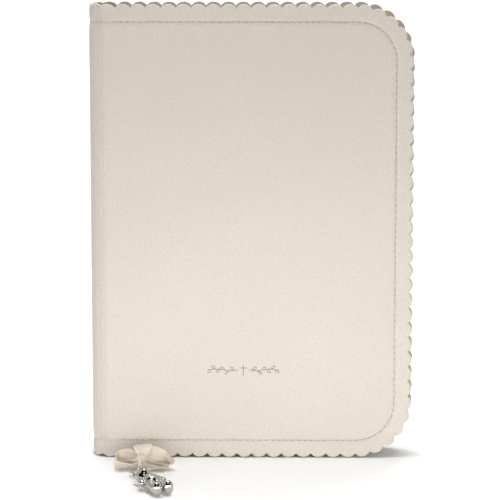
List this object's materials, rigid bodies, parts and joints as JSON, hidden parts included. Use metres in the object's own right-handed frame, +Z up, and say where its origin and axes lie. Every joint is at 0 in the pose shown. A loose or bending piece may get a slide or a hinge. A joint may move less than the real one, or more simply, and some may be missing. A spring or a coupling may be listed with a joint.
{
  "type": "prayer book",
  "caption": "Slim prayer book in a zip-around padded cover with scalloped edges, a ribbon bow on the zip pull and a small silver bear charm.",
  "frame": {"origin": "middle of the closed book's footprint, at the foot of its scalloped edge, without the ribbon and charm", "axes": "+X from the spine to the fore-edge, +Y from the front cover to the back cover, +Z up along the spine"},
  "size_m": [0.149, 0.089, 0.21],
  "materials": {
    "leatherette": "fine pebble grain, satin",
    "spine_leatherette": "fine pebble grain, satin",
    "board": "dull grey board",
    "lining": "smooth synthetic lining",
    "thread": "matt sewing thread",
    "stamping": "satin stamping foil",
    "paper": "uncoated",
    "endpaper": "uncoated, heavier",
    "cloth": "open book cloth",
    "zip_tape": "woven tape",
    "zip_coil": "nylon coil",
    "zip_metal": "bright nickel plate",
    "ribbon": "satin ribbon",
    "silver": "polished"
  },
  "bodies": {
    "spine_and_block": {"spine_skin": "spine_leatherette", "spine_stiffener": "board", "spine_lining": "lining", "front_spine_stitching": "thread", "back_spine_stitching": "thread", "page_section_2": "paper", "page_section_3": "paper", "page_section_4": "paper", "page_section_5": "paper", "page_section_6": "paper", "page_section_7": "paper", "spine_mull": "cloth", "headband": "cloth", "tailband": "cloth"},
    "front_cover": {"front_cover_skin": "leatherette", "front_board": "board", "front_lining": "lining", "front_pastedown": "endpaper", "front_edge_stitching": "thread", "cover_ornament": "stamping", "front_zip_tape": "zip_tape", "front_zip_coil": "zip_coil", "zip_end_tape": "zip_tape", "zip_end_coil": "zip_coil", "zip_top_stops": "zip_metal"},
    "back_cover": {"back_cover_skin": "leatherette", "back_board": "board", "back_lining": "lining", "back_pastedown": "endpaper", "back_edge_stitching": "thread", "back_zip_tape": "zip_tape", "back_zip_coil": "zip_coil", "zip_bottom_stop": "zip_metal"},
    "front_flyleaf": {"front_flyleaf": "endpaper"},
    "first_section": {"page_section_1": "paper"},
    "back_flyleaf": {"back_flyleaf": "endpaper"},
    "last_section": {"page_section_8": "paper"},
    "zip_slider": {"zip_slider": "zip_metal", "slider_bridge": "zip_metal"},
    "pull_tab": {"pull_tab": "zip_metal", "ribbon_hitch": "ribbon", "ribbon_lead": "ribbon", "ribbon_knot": "ribbon", "bow_left_loop": "ribbon", "bow_right_loop": "ribbon", "bow_tails": "ribbon", "charm_ribbon_loop": "ribbon"},
    "charm": {"charm_split_ring": "silver", "charm_jump_ring": "silver", "bear_charm": "silver"}
  },
  "joints": [
    {"name": "front_cover_hinge", "type": "hinge", "parent": "spine_and_block", "child": "front_cover", "pos_m": [-0.06555, -0.0113, 0], "axis": [0, 0, -1], "range_deg": [0, 180], "deforming": ["ribbon_lead", "ribbon_knot", "bow_left_loop", "bow_right_loop", "bow_tails", "charm_ribbon_loop"]},
    {"name": "front_flyleaf_turn", "type": "hinge", "parent": "spine_and_block", "child": "front_flyleaf", "pos_m": [-0.06555, -0.0113, 0], "axis": [0, 0, -1], "range_deg": [0, 176]},
    {"name": "first_section_turn", "type": "hinge", "parent": "spine_and_block", "child": "first_section", "pos_m": [-0.06555, -0.0113, 0], "axis": [0, 0, -1], "range_deg": [0, 170]},
    {"name": "back_cover_hinge", "type": "hinge", "parent": "spine_and_block", "child": "back_cover", "pos_m": [-0.06555, 0.0113, 0], "axis": [0, 0, 1], "range_deg": [0, 90]},
    {"name": "back_flyleaf_turn", "type": "hinge", "parent": "spine_and_block", "child": "back_flyleaf", "pos_m": [-0.06555, 0.0113, 0], "axis": [0, 0, 1], "range_deg": [0, 89]},
    {"name": "last_section_turn", "type": "hinge", "parent": "spine_and_block", "child": "last_section", "pos_m": [-0.06555, 0.0113, 0], "axis": [0, 0, 1], "range_deg": [0, 86]},
    {"name": "zip_slide", "type": "slide", "parent": "front_cover", "child": "zip_slider", "axis": [1, 0, 0], "range_m": [0, 0.0825], "deforming": ["ribbon_lead", "ribbon_knot", "bow_left_loop", "bow_right_loop", "bow_tails", "charm_ribbon_loop"]},
    {"name": "pull_tab_swing", "type": "hinge", "parent": "zip_slider", "child": "pull_tab", "pos_m": [-0.0447, 0, 0.00305], "axis": [0, -1, 0], "range_deg": [0, 180], "deforming": ["ribbon_lead", "ribbon_knot", "bow_left_loop", "bow_right_loop", "bow_tails", "charm_ribbon_loop"]},
    {"name": "charm_swing", "type": "hinge", "parent": "pull_tab", "child": "charm", "pos_m": [-0.0509, -0.041, 0.0023], "axis": [-1, 0, 0], "range_deg": [0, 75], "deforming": ["ribbon_lead", "ribbon_knot", "bow_left_loop", "bow_right_loop", "bow_tails", "charm_ribbon_loop"]}
  ],
  "couplings": [
    {"joint": "front_flyleaf_turn", "follows": "front_cover_hinge", "ratio": 0.97},
    {"joint": "first_section_turn", "follows": "front_cover_hinge", "ratio": 0.93},
    {"joint": "back_flyleaf_turn", "follows": "back_cover_hinge", "ratio": 0.97},
    {"joint": "last_section_turn", "follows": "back_cover_hinge", "ratio": 0.93}
  ]
}
